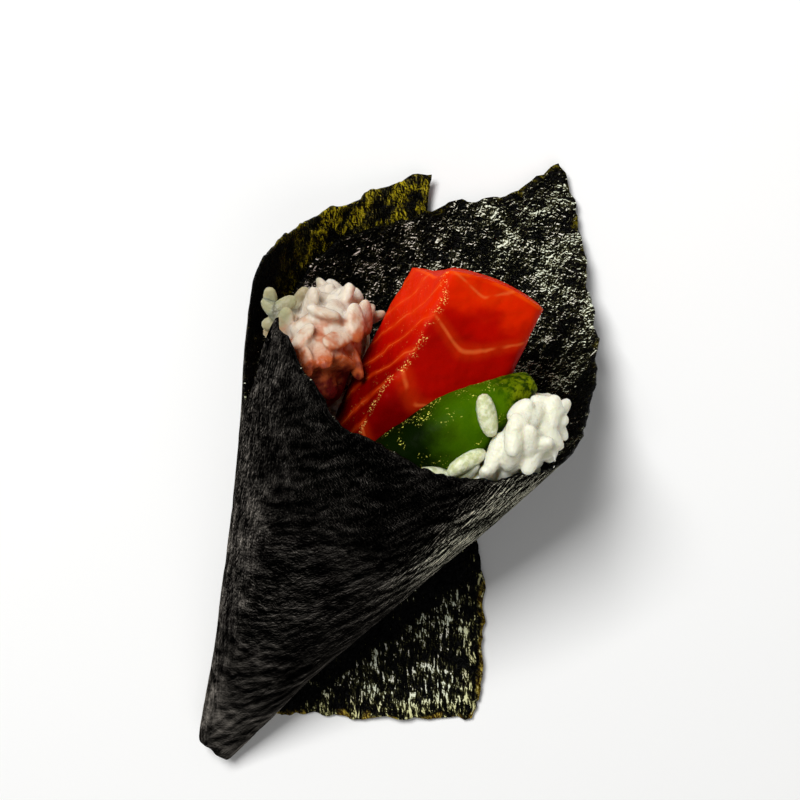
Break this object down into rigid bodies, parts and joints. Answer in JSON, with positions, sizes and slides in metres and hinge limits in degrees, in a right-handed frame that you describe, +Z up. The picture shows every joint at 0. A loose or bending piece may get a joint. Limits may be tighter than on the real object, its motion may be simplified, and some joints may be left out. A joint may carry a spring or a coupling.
{
  "type": "temaki hand roll",
  "caption": "Cone of rolled nori holding sushi rice, a bar of raw salmon and a slice of avocado, lying on its back with its loose corner flat beside it.",
  "frame": {"origin": "middle of the bounding box's underside, on the surface that the roll lies on", "axes": "+Y from the pointed tip to the open mouth, +Z up, +X towards the side on which the loose flap lies"},
  "size_m": [0.0718, 0.1238, 0.0537],
  "materials": {
    "nori": "near-black dried seaweed, smooth and charcoal outside, wrinkled, glossy and green-brown where thin inside",
    "rice": "moist cooked grains, translucent warm white",
    "salmon": "wet raw fish, deep orange with pale lines of fat",
    "avocado": "moist, smooth, deep green turning yellow-green at its end"
  },
  "bodies": {
    "root": {"nori_sheet": "nori", "rice": "rice", "salmon": "salmon", "avocado": "avocado"}
  },
  "joints": []
}
